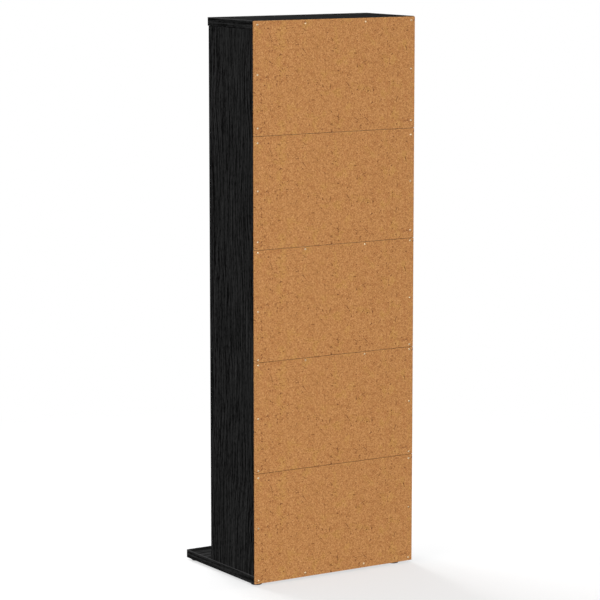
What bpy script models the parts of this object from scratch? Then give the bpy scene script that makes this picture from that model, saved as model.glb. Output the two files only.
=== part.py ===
"""Open cabinet for compact discs: a narrow tower of black oak boards on a deeper base plate.

Metres, +Z up. The front faces -Y, the floor is z = 0, and the origin is on the floor under the middle of
the base plate. Cam locks and dowels join the boards, screws from below hold the base plate, and five
hardboard panels close the back. Two of the four shelves are fixed. The other two rest on pins in rows of
holes, and pull out to the front.
"""

import math

import bmesh
import bpy
from mathutils import Matrix, Vector

# Cabinet
WIDTH = 0.338
HEIGHT = 1.000
BASE_DEPTH = 0.241
BODY_DEPTH = 0.1555
BOARD = 0.015
TOP_OVERHANG = 0.003
EDGE_ROUNDING = 0.0006
EDGE_SEGMENTS = 2

# Clearances
FIT_GAP = 0.0003
CUT_OVERRUN = 0.002
MERGE_DISTANCE = 0.00001

# Back panels
PANEL_COUNT = 5
PANEL_THICKNESS = 0.003
PANEL_SEAM = 0.0008
PANEL_END_MARGIN = 0.001
PANEL_SIDE_MARGIN = 0.0004

# Shelves, by the number of the panel seam that each lies behind, counted from the bottom
ADJUSTABLE_SHELVES = {"lower": 1, "upper": 4}
FIXED_SHELVES = {"lower": 2, "upper": 3}
SHELF_SETBACK = 0.002
SHELF_PLAY = 0.0005

# Places of the fasteners
JOINT_INSET = 0.031
PIN_INSET = 0.025
WALL_BEHIND_BORE = 0.004
WALL_BEHIND_PIN = 0.005

# Shelf pins and their rows of holes
PIN_PITCH = 0.032
PIN_STEPS = (-2, -1, 0, 1, 2)
PIN_RADIUS = 0.0025
PIN_COLLAR_RADIUS = 0.0045
PIN_COLLAR = 0.001
PIN_STUB_RADIUS = 0.0035
PIN_STUB = 0.008
PIN_SEAT_RISE = 0.0022
PIN_CHAMFER = 0.0005
PIN_SIDES = 12

# Dowels
DOWEL_RADIUS = 0.004
DOWEL_IN_END = 0.020
DOWEL_CHAMFER = 0.001
DOWEL_SIDES = 8

# Cam locks
CAM_RADIUS = 0.0072
CAM_SETBACK = 0.024
CAM_REACH = 0.0047
CAM_CAVITY_RADIUS = 0.005
CAM_ECCENTRICITY = 0.0006
CAM_CROSS_LENGTH = 0.009
CAM_CROSS_WIDTH = 0.0014
CAM_CROSS_DEPTH = 0.0018
CAM_SLOT_START = math.radians(-25)
CAM_ENTRY = math.radians(115)
CAM_SLOT_STEPS = 7
CAM_SIDES = 20

# Cam bolts
BOLT_THREAD_RADIUS = 0.0025
BOLT_COLLAR_RADIUS = 0.0036
BOLT_COLLAR = 0.001
BOLT_SHANK_RADIUS = 0.003
BOLT_NECK_RADIUS = 0.0018
BOLT_HEAD_RADIUS = 0.0032
BOLT_HEAD = 0.0044
BOLT_HEAD_CHAMFER = 0.001
BOLT_HEAD_OFFSET = 0.0012
BOLT_SIDES = 12

# Screws of the base plate
SCREW_HEAD_RADIUS = 0.005
SCREW_HEAD_CONE = 0.004
SCREW_HEAD_SINK = 0.0004
SCREW_SHANK_RADIUS = 0.0032
SCREW_CORE_RADIUS = 0.0025
SCREW_IN_END = 0.034
SCREW_TIP = 0.004
SCREW_SOCKET_RADIUS = 0.0023
SCREW_SOCKET_DEPTH = 0.0025
SCREW_SIDES = 12
SOCKET_SIDES = 6

# Glides, nailed on by hand, those on the left further in
GLIDE_RADIUS = 0.010
GLIDE_HEIGHT = 0.0032
GLIDE_FOOT_CHAMFER = 0.0012
GLIDE_RIM_CHAMFER = 0.0004
GLIDE_NAIL_RADIUS = 0.0011
GLIDE_NAIL_TIP = 0.002
GLIDE_INSET_END = 0.014
GLIDE_INSET_RIGHT = 0.014
GLIDE_INSET_LEFT = 0.030
GLIDE_SIDES = 20
GLIDE_NAIL_SIDES = 8

# Smooth shading stops at edges sharper than this
SHARP_ANGLE = math.radians(40)

# Finishes: linear colour, roughness and metallic value
BLACK_OAK = ("black oak laminate", (0.0125, 0.0118, 0.0112), 0.42, 0.0)
HARDBOARD = ("hardboard", (0.45, 0.215, 0.082), 0.62, 0.0)
BEECH = ("beech", (0.60, 0.41, 0.24), 0.65, 0.0)
ZINC = ("zinc die casting", (0.50, 0.50, 0.52), 0.42, 1.0)
STEEL = ("zinc plated steel", (0.62, 0.62, 0.63), 0.30, 1.0)
PLASTIC = ("black plastic", (0.018, 0.018, 0.019), 0.50, 0.0)

# Places worked out from the sizes above
HALF_WIDTH = WIDTH / 2
INNER_HALF = HALF_WIDTH - BOARD
BACK_FACE = BASE_DEPTH / 2
BOARD_BACK = BACK_FACE - PANEL_THICKNESS - FIT_GAP
BASE_FRONT = -BASE_DEPTH / 2
TOP_FRONT = BACK_FACE - BODY_DEPTH
SIDE_FRONT = TOP_FRONT + TOP_OVERHANG
BASE_BOTTOM = GLIDE_HEIGHT + FIT_GAP
BASE_TOP = BASE_BOTTOM + BOARD
TOP_BOTTOM = HEIGHT - BOARD
STACK_BOTTOM = BASE_BOTTOM + PANEL_END_MARGIN
PANEL_PITCH = (HEIGHT - PANEL_END_MARGIN - STACK_BOTTOM) / PANEL_COUNT
JOINT_FRONT = SIDE_FRONT + JOINT_INSET
JOINT_REAR = BOARD_BACK - JOINT_INSET
JOINT_MIDDLE = (JOINT_FRONT + JOINT_REAR) / 2
FACE_BORE = BOARD - WALL_BEHIND_BORE
PIN_BORE = BOARD - WALL_BEHIND_PIN
CAM_TOP = BOARD / 2 - FIT_GAP

SIDES = {"left": -1, "right": 1}
UP = Vector((0, 0, 1))
DOWN = Vector((0, 0, -1))


def clear_scene():
    """Empties the scene before the cabinet is built."""
    for found in list(bpy.data.objects):
        bpy.data.objects.remove(found, do_unlink=True)


def new_collection(name):
    """A collection in the scene."""
    collection = bpy.data.collections.new(name)
    bpy.context.scene.collection.children.link(collection)
    return collection


def new_material(name, colour, roughness, metallic):
    """A Principled material of one linear colour."""
    material = bpy.data.materials.new(name)
    material.use_nodes = True
    material.diffuse_color = (*colour, 1.0)
    shader = material.node_tree.nodes["Principled BSDF"]
    shader.inputs["Base Color"].default_value = (*colour, 1.0)
    shader.inputs["Roughness"].default_value = roughness
    shader.inputs["Metallic"].default_value = metallic
    return material


def seam_height(number):
    """Height of the seam above the back panel of this number, counted from the bottom."""
    return STACK_BOTTOM + number * PANEL_PITCH


def facing(x_axis, z_axis):
    """Rotation that turns a piece's own X and Z axes to these directions."""
    x_axis, z_axis = Vector(x_axis), Vector(z_axis)
    return Matrix((x_axis, z_axis.cross(x_axis), z_axis)).transposed().to_4x4()


def along(direction):
    """Rotation that turns a piece's own Z axis to an upright or a level direction."""
    direction = Vector(direction)
    upright = direction.x == direction.y == 0
    return facing(Vector((1, 0, 0)) if upright else UP, direction)


def add_rod(shape, start, end, radius, sides, end_radius=None):
    """Adds a closed rod or cone between two points to a bmesh."""
    start, end = Vector(start), Vector(end)
    run = end - start
    bmesh.ops.create_cone(
        shape,
        cap_ends=True,
        segments=sides,
        radius1=radius,
        radius2=radius if end_radius is None else end_radius,
        depth=run.length,
        matrix=Matrix.Translation((start + end) / 2) @ along(run.normalized()),
    )


def add_block(shape, low, high):
    """Adds a box between two corners to a bmesh."""
    low, high = Vector(low), Vector(high)
    place = Matrix.Translation((low + high) / 2)
    bmesh.ops.create_cube(shape, size=1.0, matrix=place @ Matrix.Diagonal((*(high - low), 1.0)))


class Workshop:
    """Makes the cabinet's objects and keeps its materials, and the bores that each board is to get."""

    def __init__(self):
        self.parts = new_collection("cd_cabinet")
        self.helpers = new_collection("cutters_and_patterns")
        self.bores = {}
        self.cabinet = bpy.data.objects.new("cabinet", None)
        self.parts.objects.link(self.cabinet)
        self.black_oak = new_material(*BLACK_OAK)
        self.hardboard = new_material(*HARDBOARD)
        self.beech = new_material(*BEECH)
        self.zinc = new_material(*ZINC)
        self.steel = new_material(*STEEL)
        self.plastic = new_material(*PLASTIC)

    def add_part(self, name, mesh, material, place, turn=None):
        """A named piece of the cabinet, at its place."""
        if not mesh.materials:
            mesh.materials.append(material)
        part = bpy.data.objects.new(name, mesh)
        part.matrix_world = Matrix.Translation(Vector(place)) @ (turn or Matrix.Identity(4))
        part.parent = self.cabinet
        self.parts.objects.link(part)
        return part

    def add_helper(self, name, mesh):
        """A cutter or a pattern, which is no piece of the cabinet."""
        helper = bpy.data.objects.new(name, mesh)
        helper.hide_render = True
        helper.display_type = "WIRE"
        self.helpers.objects.link(helper)
        return helper

    def add_cutter(self, name, shape):
        """A cutter made from a bmesh, which is freed."""
        mesh = bpy.data.meshes.new(name)
        shape.to_mesh(mesh)
        shape.free()
        return self.add_helper(name, mesh)

    def cut(self, part, cutter):
        """Takes a cutter out of a part. The shapes in the cutter may run into each other."""
        boolean = part.modifiers.new(cutter.name, "BOOLEAN")
        boolean.operation = "DIFFERENCE"
        boolean.solver = "EXACT"
        boolean.use_self = True
        boolean.object = cutter

    def add_sheet(self, name, low, high, material):
        """A sawn sheet between two corners, with its origin in its middle."""
        low, high = Vector(low), Vector(high)
        mesh = bpy.data.meshes.new(name)
        shape = bmesh.new()
        add_block(shape, (low - high) / 2, (high - low) / 2)
        shape.to_mesh(mesh)
        shape.free()
        return self.add_part(name, mesh, material, (low + high) / 2)

    def add_board(self, name, low, high):
        """A black oak board between two corners, with eased edges, ready to be bored."""
        board = self.add_sheet(name, low, high, self.black_oak)
        easing = board.modifiers.new("eased edges", "BEVEL")
        easing.width = EDGE_ROUNDING
        easing.segments = EDGE_SEGMENTS
        easing.limit_method = "NONE"
        self.bores[name] = []
        return board

    def bore(self, board, start, end, radius, sides, end_radius=None):
        """Notes a bore for a board, from a point at or outside its face to the bore's floor."""
        self.bores[board.name].append((start, end, radius, sides, end_radius))

    def drill(self, board):
        """Takes every bore that was noted out of its board."""
        shape = bmesh.new()
        for start, end, radius, sides, end_radius in self.bores[board.name]:
            add_rod(shape, start, end, radius, sides, end_radius)
        self.cut(board, self.add_cutter("bores of " + board.name, shape))

    def turned(self, name, profile, sides):
        """A pattern turned about Z from (radius, height) points that run down its outer side."""
        mesh = bpy.data.meshes.new(name)
        shape = bmesh.new()
        points = [shape.verts.new((radius, 0.0, height)) for radius, height in profile]
        for upper, lower in zip(points, points[1:]):
            shape.edges.new((upper, lower))
        shape.to_mesh(mesh)
        shape.free()
        pattern = self.add_helper(name, mesh)
        screw = pattern.modifiers.new("turning", "SCREW")
        screw.axis = "Z"
        screw.angle = math.tau
        screw.steps = screw.render_steps = sides
        screw.use_merge_vertices = True
        screw.merge_threshold = MERGE_DISTANCE
        return pattern

    def add_outline_cutter(self, name, outline, half_thickness):
        """A cutter of a flat outline in the XY plane, thickened to both sides."""
        curve = bpy.data.curves.new(name, "CURVE")
        curve.dimensions = "2D"
        curve.fill_mode = "BOTH"
        curve.extrude = half_thickness
        spline = curve.splines.new("POLY")
        spline.points.add(len(outline) - 1)
        spline.use_cyclic_u = True
        for point, (x, y) in zip(spline.points, outline):
            point.co = (x, y, 0.0, 1.0)
        drawn = self.add_helper(name + " outline", curve)
        bpy.context.view_layer.update()
        graph = bpy.context.evaluated_depsgraph_get()
        mesh = bpy.data.meshes.new_from_object(drawn.evaluated_get(graph))
        shape = bmesh.new()
        shape.from_mesh(mesh)
        bmesh.ops.remove_doubles(shape, verts=shape.verts, dist=MERGE_DISTANCE)
        bmesh.ops.recalc_face_normals(shape, faces=shape.faces)
        shape.to_mesh(mesh)
        shape.free()
        bpy.data.objects.remove(drawn)
        return self.add_helper(name, mesh)

    def finish_pattern(self, pattern, *cutters):
        """The pattern's finished mesh, for its copies to share. The pattern and its cutters are removed."""
        for cutter in cutters:
            self.cut(pattern, cutter)
        bpy.context.view_layer.update()
        graph = bpy.context.evaluated_depsgraph_get()
        mesh = bpy.data.meshes.new_from_object(pattern.evaluated_get(graph))
        mesh.materials.clear()
        mesh.shade_smooth()
        mesh.set_sharp_from_angle(angle=SHARP_ANGLE)
        for helper in (pattern, *cutters):
            bpy.data.objects.remove(helper)
        return mesh


def dowel_pattern(shop):
    """A wooden dowel. Its origin is in the joint, and +Z runs into the end of the doweled board."""
    face_end = -(FACE_BORE - FIT_GAP)
    tip_radius = DOWEL_RADIUS - DOWEL_CHAMFER
    profile = [
        (0, DOWEL_IN_END),
        (tip_radius, DOWEL_IN_END),
        (DOWEL_RADIUS, DOWEL_IN_END - DOWEL_CHAMFER),
        (DOWEL_RADIUS, face_end + DOWEL_CHAMFER),
        (tip_radius, face_end),
        (0, face_end),
    ]
    return shop.finish_pattern(shop.turned("dowel", profile, DOWEL_SIDES))


def bolt_pattern(shop):
    """A cam bolt. Its origin is in the joint, and +Z runs to its head inside the cam."""
    head_top = CAM_SETBACK - BOLT_HEAD_OFFSET + BOLT_HEAD / 2
    head_bottom = head_top - BOLT_HEAD
    head_edge = BOLT_HEAD_RADIUS - BOLT_HEAD_CHAMFER
    shank_end = CAM_SETBACK - CAM_RADIUS - 2 * FIT_GAP
    collar_top = FIT_GAP + BOLT_COLLAR
    thread_end = -(FACE_BORE - FIT_GAP)
    thread_tip = BOLT_THREAD_RADIUS - BOLT_HEAD_CHAMFER
    profile = [
        (0, head_top),
        (head_edge, head_top),
        (BOLT_HEAD_RADIUS, head_top - BOLT_HEAD_CHAMFER),
        (BOLT_HEAD_RADIUS, head_bottom + BOLT_HEAD_CHAMFER),
        (BOLT_NECK_RADIUS, head_bottom),
        (BOLT_NECK_RADIUS, shank_end),
        (BOLT_SHANK_RADIUS, shank_end),
        (BOLT_SHANK_RADIUS, collar_top),
        (BOLT_COLLAR_RADIUS, collar_top),
        (BOLT_COLLAR_RADIUS, FIT_GAP),
        (BOLT_THREAD_RADIUS, FIT_GAP),
        (BOLT_THREAD_RADIUS, thread_end + BOLT_HEAD_CHAMFER),
        (thread_tip, thread_end),
        (0, thread_end),
    ]
    return shop.finish_pattern(shop.turned("cam bolt", profile, BOLT_SIDES))


def cam_pattern(shop):
    """A cam disc, locked. Its origin is on the bolt's axis, +X faces the bolt and +Z the driver.

    The bolt's head entered by the round hole, and the slot let its neck by while the disc was turned.
    """
    profile = [(0, CAM_TOP), (CAM_RADIUS, CAM_TOP), (CAM_RADIUS, -CAM_REACH), (0, -CAM_REACH)]
    disc = shop.turned("cam lock", profile, CAM_SIDES)
    head_room = BOLT_HEAD_RADIUS + FIT_GAP
    cavity = bmesh.new()
    middle = Vector((-CAM_ECCENTRICITY, 0, 0))
    add_rod(cavity, middle - head_room * UP, middle + head_room * UP, CAM_CAVITY_RADIUS, CAM_SIDES)
    rim = CAM_RADIUS + CUT_OVERRUN
    entry = bmesh.new()
    outside = (rim * math.cos(CAM_ENTRY), rim * math.sin(CAM_ENTRY), 0)
    add_rod(entry, (0, 0, 0), outside, head_room, BOLT_SIDES)
    turn = (CAM_ENTRY - CAM_SLOT_START) / CAM_SLOT_STEPS
    angles = [CAM_SLOT_START + turn * step for step in range(CAM_SLOT_STEPS + 1)]
    sector = [(0, 0)] + [(rim * math.cos(angle), rim * math.sin(angle)) for angle in angles]
    slot = shop.add_outline_cutter("neck slot", sector, BOLT_NECK_RADIUS + FIT_GAP)
    cross = bmesh.new()
    cross_floor = CAM_TOP - CAM_CROSS_DEPTH
    cross_top = CAM_TOP + CUT_OVERRUN
    for half_x, half_y in (
        (CAM_CROSS_LENGTH / 2, CAM_CROSS_WIDTH / 2),
        (CAM_CROSS_WIDTH / 2, CAM_CROSS_LENGTH / 2),
    ):
        add_block(cross, (-half_x, -half_y, cross_floor), (half_x, half_y, cross_top))
    return shop.finish_pattern(
        disc,
        shop.add_cutter("head cavity", cavity),
        shop.add_cutter("head entry", entry),
        slot,
        shop.add_cutter("driver cross", cross),
    )


def screw_pattern(shop):
    """A countersunk furniture screw. Its origin is in the joint, and +Z runs to its tip."""
    head_face = -BOARD + SCREW_HEAD_SINK
    profile = [
        (0, SCREW_IN_END),
        (SCREW_CORE_RADIUS / 2, SCREW_IN_END),
        (SCREW_CORE_RADIUS, SCREW_IN_END - SCREW_TIP),
        (SCREW_CORE_RADIUS, 0),
        (SCREW_SHANK_RADIUS, -FIT_GAP),
        (SCREW_SHANK_RADIUS, head_face + SCREW_HEAD_CONE),
        (SCREW_HEAD_RADIUS, head_face),
        (0, head_face),
    ]
    socket = bmesh.new()
    mouth = (head_face - CUT_OVERRUN) * UP
    floor = (head_face + SCREW_SOCKET_DEPTH) * UP
    add_rod(socket, mouth, floor, SCREW_SOCKET_RADIUS, SOCKET_SIDES)
    return shop.finish_pattern(
        shop.turned("base screw", profile, SCREW_SIDES), shop.add_cutter("hexagon socket", socket)
    )


def pin_pattern(shop):
    """A shelf pin. Its origin is on the side panel's face, +Z runs inwards and the seat faces +X."""
    collar_end = FIT_GAP + PIN_COLLAR
    stub_end = collar_end + PIN_STUB
    bore_end = -(PIN_BORE - FIT_GAP)
    profile = [
        (0, stub_end),
        (PIN_STUB_RADIUS - PIN_CHAMFER, stub_end),
        (PIN_STUB_RADIUS, stub_end - PIN_CHAMFER),
        (PIN_STUB_RADIUS, collar_end),
        (PIN_COLLAR_RADIUS, collar_end),
        (PIN_COLLAR_RADIUS, FIT_GAP),
        (PIN_RADIUS, FIT_GAP),
        (PIN_RADIUS, bore_end + PIN_CHAMFER),
        (PIN_RADIUS - PIN_CHAMFER, bore_end),
        (0, bore_end),
    ]
    seat = bmesh.new()
    far = PIN_STUB_RADIUS + CUT_OVERRUN
    add_block(seat, (PIN_SEAT_RISE, -far, collar_end), (far, far, stub_end + CUT_OVERRUN))
    return shop.finish_pattern(
        shop.turned("shelf pin", profile, PIN_SIDES), shop.add_cutter("shelf seat", seat)
    )


def glide_pattern(shop):
    """A plastic glide with its nail moulded in. Its origin is on the floor."""
    nail_end = BASE_BOTTOM + FACE_BORE - FIT_GAP
    profile = [
        (0, nail_end),
        (GLIDE_NAIL_RADIUS, nail_end - GLIDE_NAIL_TIP),
        (GLIDE_NAIL_RADIUS, GLIDE_HEIGHT),
        (GLIDE_RADIUS - GLIDE_RIM_CHAMFER, GLIDE_HEIGHT),
        (GLIDE_RADIUS, GLIDE_HEIGHT - GLIDE_RIM_CHAMFER),
        (GLIDE_RADIUS, GLIDE_FOOT_CHAMFER),
        (GLIDE_RADIUS - GLIDE_FOOT_CHAMFER, 0),
        (0, 0),
    ]
    return shop.finish_pattern(shop.turned("glide", profile, GLIDE_SIDES))


def add_dowel(shop, mesh, name, joint, inward, face_board, end_board):
    """A dowel in the joint between one board's face and the end of another, which lies inward of it."""
    shop.add_part(name, mesh, shop.beech, joint, along(inward))
    radius = DOWEL_RADIUS + FIT_GAP
    overrun = inward * CUT_OVERRUN
    shop.bore(face_board, joint + overrun, joint - inward * FACE_BORE, radius, DOWEL_SIDES)
    shop.bore(end_board, joint - overrun, joint + inward * (DOWEL_IN_END + FIT_GAP), radius, DOWEL_SIDES)


def add_cam_lock(shop, meshes, name, joint, inward, opening, face_board, end_board):
    """A bolt in one board's face and the cam in the next board that draws it tight.

    The cam's bore opens on the face of the end board that looks along opening.
    """
    bolt_mesh, cam_mesh = meshes
    shop.add_part("cam_bolt_" + name, bolt_mesh, shop.steel, joint, along(inward))
    centre = joint + inward * CAM_SETBACK
    shop.add_part("cam_lock_" + name, cam_mesh, shop.zinc, centre, facing(-inward, opening))
    thread_radius = BOLT_THREAD_RADIUS + FIT_GAP
    shank_radius = BOLT_COLLAR_RADIUS + FIT_GAP
    thread_floor = joint - inward * FACE_BORE
    shop.bore(face_board, joint + inward * CUT_OVERRUN, thread_floor, thread_radius, BOLT_SIDES)
    shop.bore(end_board, joint - inward * CUT_OVERRUN, centre, shank_radius, BOLT_SIDES)
    mouth = centre + opening * (BOARD / 2 + CUT_OVERRUN)
    floor = centre - opening * (CAM_REACH + FIT_GAP)
    shop.bore(end_board, mouth, floor, CAM_RADIUS + FIT_GAP, CAM_SIDES)


def add_screw(shop, mesh, name, joint, base_plate, side_panel):
    """A screw up through the base plate into the lower end of a side panel."""
    shop.add_part(name, mesh, shop.steel, joint, along(UP))
    head_face = joint - (BOARD - SCREW_HEAD_SINK) * UP
    cone_end = head_face + SCREW_HEAD_CONE * UP
    cone_radius = SCREW_HEAD_RADIUS + FIT_GAP
    shank_radius = SCREW_SHANK_RADIUS + FIT_GAP
    core_radius = SCREW_CORE_RADIUS + FIT_GAP
    shop.bore(base_plate, joint - (BOARD + CUT_OVERRUN) * UP, head_face, cone_radius, SCREW_SIDES)
    shop.bore(base_plate, head_face, cone_end, cone_radius, SCREW_SIDES, shank_radius)
    shop.bore(base_plate, cone_end, joint + CUT_OVERRUN * UP, shank_radius, SCREW_SIDES)
    tip = joint + (SCREW_IN_END + FIT_GAP) * UP
    shop.bore(side_panel, joint - CUT_OVERRUN * UP, tip, core_radius, SCREW_SIDES)


def add_carcass(shop):
    """The base plate, the side panels and the top panel."""
    outer = HALF_WIDTH
    boards = {
        "base": shop.add_board(
            "base_plate", (-outer, BASE_FRONT, BASE_BOTTOM), (outer, BOARD_BACK, BASE_TOP)
        ),
        "top": shop.add_board(
            "top_panel", (-outer, TOP_FRONT, TOP_BOTTOM), (outer, BOARD_BACK, HEIGHT)
        ),
    }
    for side, sign in SIDES.items():
        near, far = sorted((sign * INNER_HALF, sign * outer))
        boards[side] = shop.add_board(
            "side_panel_" + side,
            (near, SIDE_FRONT, BASE_TOP + FIT_GAP),
            (far, BOARD_BACK, TOP_BOTTOM - FIT_GAP),
        )
    return boards


def add_fixed_shelves(shop):
    """The shelves whose ends are cam locked and doweled to the side panels."""
    reach = INNER_HALF - FIT_GAP
    shelves = {}
    for level, seam in FIXED_SHELVES.items():
        middle = seam_height(seam)
        shelves[level] = shop.add_board(
            f"fixed_shelf_{level}",
            (-reach, SIDE_FRONT, middle - BOARD / 2),
            (reach, BOARD_BACK, middle + BOARD / 2),
        )
    return shelves


def add_adjustable_shelves(shop, pin_mesh, boards):
    """The shelves that lie on pins, with the rows of holes that let them be set higher or lower."""
    reach = INNER_HALF - FIT_GAP - PIN_COLLAR - SHELF_PLAY
    columns = {"front": SIDE_FRONT + PIN_INSET, "rear": BOARD_BACK - PIN_INSET}
    for level, seam in ADJUSTABLE_SHELVES.items():
        middle = seam_height(seam)
        shop.add_board(
            f"adjustable_shelf_{level}",
            (-reach, SIDE_FRONT + SHELF_SETBACK, middle - BOARD / 2),
            (reach, BOARD_BACK, middle + BOARD / 2),
        )
        pin_height = middle - BOARD / 2 - FIT_GAP - PIN_SEAT_RISE
        for side, sign in SIDES.items():
            inward = Vector((-sign, 0, 0))
            for column, depth in columns.items():
                seat = Vector((sign * INNER_HALF, depth, pin_height))
                name = f"shelf_pin_{level}_{side}_{column}"
                shop.add_part(name, pin_mesh, shop.steel, seat, facing(UP, inward))
                for step in PIN_STEPS:
                    mouth = seat + step * PIN_PITCH * UP
                    floor = mouth - inward * PIN_BORE
                    radius = PIN_RADIUS + FIT_GAP
                    shop.bore(boards[side], mouth + inward * CUT_OVERRUN, floor, radius, PIN_SIDES)


def add_joints(shop, boards, shelves):
    """The dowels, cam locks and screws that hold the boards together."""
    dowel_mesh = dowel_pattern(shop)
    lock_meshes = (bolt_pattern(shop), cam_pattern(shop))
    screw_mesh = screw_pattern(shop)
    ends = {"front": JOINT_FRONT, "rear": JOINT_REAR}
    for side, sign in SIDES.items():
        inward = Vector((-sign, 0, 0))
        panel = boards[side]
        middle = sign * (INNER_HALF + BOARD / 2)
        top = Vector((middle, JOINT_MIDDLE, TOP_BOTTOM))
        name = "top_" + side
        add_cam_lock(shop, lock_meshes, name, top, DOWN, inward, boards["top"], panel)
        base = Vector((middle, JOINT_MIDDLE, BASE_TOP))
        add_dowel(shop, dowel_mesh, "dowel_base_" + side, base, UP, boards["base"], panel)
        for end, depth in ends.items():
            top = Vector((middle, depth, TOP_BOTTOM))
            name = f"dowel_top_{side}_{end}"
            add_dowel(shop, dowel_mesh, name, top, DOWN, boards["top"], panel)
            base = Vector((middle, depth, BASE_TOP))
            name = f"base_screw_{side}_{end}"
            add_screw(shop, screw_mesh, name, base, boards["base"], panel)
        for level, seam in FIXED_SHELVES.items():
            shelf = shelves[level]
            joint = Vector((sign * INNER_HALF, JOINT_MIDDLE, seam_height(seam)))
            name = f"{level}_shelf_{side}"
            add_cam_lock(shop, lock_meshes, name, joint, inward, DOWN, panel, shelf)
            for end, depth in ends.items():
                joint = Vector((sign * INNER_HALF, depth, seam_height(seam)))
                name = f"dowel_{level}_shelf_{side}_{end}"
                add_dowel(shop, dowel_mesh, name, joint, inward, panel, shelf)


def add_back(shop):
    """The hardboard panels, one above the other, over the back edges of all the boards."""
    reach = HALF_WIDTH - PANEL_SIDE_MARGIN
    for number in range(1, PANEL_COUNT + 1):
        low = seam_height(number - 1) + (PANEL_SEAM / 2 if number > 1 else 0)
        high = seam_height(number) - (PANEL_SEAM / 2 if number < PANEL_COUNT else 0)
        shop.add_sheet(
            f"back_panel_{number}",
            (-reach, BACK_FACE - PANEL_THICKNESS, low),
            (reach, BACK_FACE, high),
            shop.hardboard,
        )


def add_glides(shop, base_plate):
    """Four glides nailed under the corners of the base plate."""
    mesh = glide_pattern(shop)
    insets = {"left": -HALF_WIDTH + GLIDE_INSET_LEFT, "right": HALF_WIDTH - GLIDE_INSET_RIGHT}
    ends = {"front": BASE_FRONT + GLIDE_INSET_END, "rear": BOARD_BACK - GLIDE_INSET_END}
    for side, x in insets.items():
        for end, y in ends.items():
            shop.add_part(f"glide_{end}_{side}", mesh, shop.plastic, (x, y, 0))
            mouth = Vector((x, y, BASE_BOTTOM - CUT_OVERRUN))
            floor = Vector((x, y, BASE_BOTTOM + FACE_BORE))
            shop.bore(base_plate, mouth, floor, GLIDE_NAIL_RADIUS + FIT_GAP, GLIDE_NAIL_SIDES)


def main():
    clear_scene()
    shop = Workshop()
    boards = add_carcass(shop)
    shelves = add_fixed_shelves(shop)
    add_adjustable_shelves(shop, pin_pattern(shop), boards)
    add_joints(shop, boards, shelves)
    add_back(shop)
    add_glides(shop, boards["base"])
    for board in (*boards.values(), *shelves.values()):
        shop.drill(board)


main()
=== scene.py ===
"""Finishes for an open cabinet for compact discs: its boards, hardboard back, nails and fittings.

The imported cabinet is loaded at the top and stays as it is. The operators give its boards and panels their
finishes, make the nails, the edge bands and the fine fittings, and set the cabinet on a pale floor.
Lengths are metres, +Z is up and the open front faces -Y.
"""

import math
import random
import bmesh
import bpy
from bpy.props import FloatProperty, FloatVectorProperty, IntProperty, PointerProperty
from mathutils import Euler, Matrix, Vector


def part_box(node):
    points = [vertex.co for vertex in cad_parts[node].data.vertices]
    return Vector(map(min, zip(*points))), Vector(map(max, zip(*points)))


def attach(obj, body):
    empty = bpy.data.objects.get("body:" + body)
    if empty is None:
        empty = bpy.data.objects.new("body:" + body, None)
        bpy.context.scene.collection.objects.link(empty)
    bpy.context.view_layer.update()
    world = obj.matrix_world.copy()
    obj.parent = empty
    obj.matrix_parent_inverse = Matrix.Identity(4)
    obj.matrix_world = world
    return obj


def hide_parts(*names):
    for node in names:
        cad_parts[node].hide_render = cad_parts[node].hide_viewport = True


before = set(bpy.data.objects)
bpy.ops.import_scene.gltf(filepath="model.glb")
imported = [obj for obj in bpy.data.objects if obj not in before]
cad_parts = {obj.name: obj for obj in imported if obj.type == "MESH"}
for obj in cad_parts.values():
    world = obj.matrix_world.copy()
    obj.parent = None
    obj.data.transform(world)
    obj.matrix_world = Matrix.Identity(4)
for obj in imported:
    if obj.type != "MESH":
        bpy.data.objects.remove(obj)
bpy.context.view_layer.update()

bl_info = {
    "name": "CD Cabinet Finishes",
    "version": (1, 0),
    "blender": (4, 5, 0),
    "location": "3D View > Sidebar > Cabinet",
    "description": "Finishes, nails, edge bands and fittings for an open cabinet for compact discs",
    "category": "Object",
}

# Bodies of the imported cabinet
CARCASS = "carcass"
SHELF_BODIES = {"adjustable_shelf_lower": "lower_shelf", "adjustable_shelf_upper": "upper_shelf"}

# Boards, by how their grain runs and which of their ends are banded or raw chipboard
UPRIGHT_BOARDS = ("side_panel_left", "side_panel_right")
SHELVES = ("fixed_shelf_lower", "fixed_shelf_upper", "adjustable_shelf_lower", "adjustable_shelf_upper")
BANDED_ROUND = ("base_plate", "top_panel")
BACK_PANELS = tuple(f"back_panel_{number}" for number in range(1, 6))
# How much longer the box of a board's core is drawn at a raw end
RAW_END = 0.005

# Growth rings of the oak: the space between two, and how far their heart leans for each metre of board
RING_SPACING = 0.0066
RING_LEAN = 0.030
# From the painted highlight on one side of a groove in the laminate to the painted shade on its other side
GROOVE_SHADE_OFFSET = 0.0036
# How much the grain wanders in a board and in an edge band
BOARD_WANDER = 1.0
BAND_WANDER = 0.15

# Turns that bring the grain to the pattern's own Z axis
QUARTER = math.radians(90)
ALONG_Z = (0.0, 0.0, 0.0)
ALONG_X = (0.0, QUARTER, 0.0)
ALONG_Y = (QUARTER, 0.0, 0.0)

# Where each board was cut from the pattern
CUTS = {
    "side_panel_right": (-0.124, -0.045, 0.30),
    "side_panel_left": (0.195, -0.030, 2.10),
    "base_plate": (0.020, 0.135, 3.70),
    "top_panel": (-0.962, -0.075, 5.20),
    "fixed_shelf_lower": (-0.371, 0.010, 6.90),
    "fixed_shelf_upper": (-0.564, -0.020, 8.30),
    "adjustable_shelf_lower": (-0.163, 0.030, 9.80),
    "adjustable_shelf_upper": (-0.766, -0.050, 11.40),
}
BAND_CUT = (0.160, 0.045, 0.50)
# Where each panel of the back was cut from the hardboard, which is the same place for all five
BACK_CUT = (0.730, 0.0, 0.415)
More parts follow.
